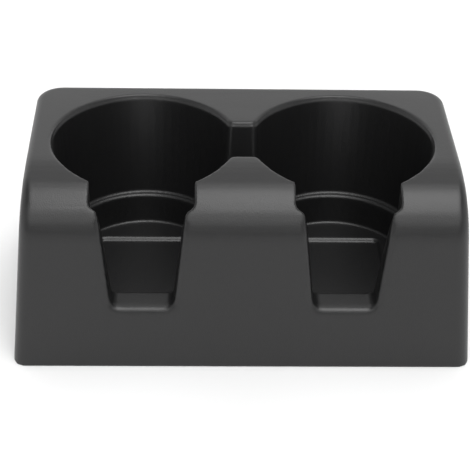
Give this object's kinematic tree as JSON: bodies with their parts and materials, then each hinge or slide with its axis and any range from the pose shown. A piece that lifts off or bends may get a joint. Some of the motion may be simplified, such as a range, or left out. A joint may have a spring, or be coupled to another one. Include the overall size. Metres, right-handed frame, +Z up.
{
  "type": "car cup holder",
  "caption": "Moulded double cup holder for a car: round stepped wells with front handle slots, a linking gap and an open underside.",
  "frame": {"origin": "middle of the rectangle that the bottom rim stands in, on the surface it rests on", "axes": "+X across both wells, -Y towards the notched front face, +Z up out of the wells"},
  "size_m": [0.218, 0.121, 0.09],
  "materials": {
    "body_plastic": "fine-grained satin black moulding"
  },
  "bodies": {
    "root": {"cup_holder_body": "body_plastic"}
  },
  "joints": []
}
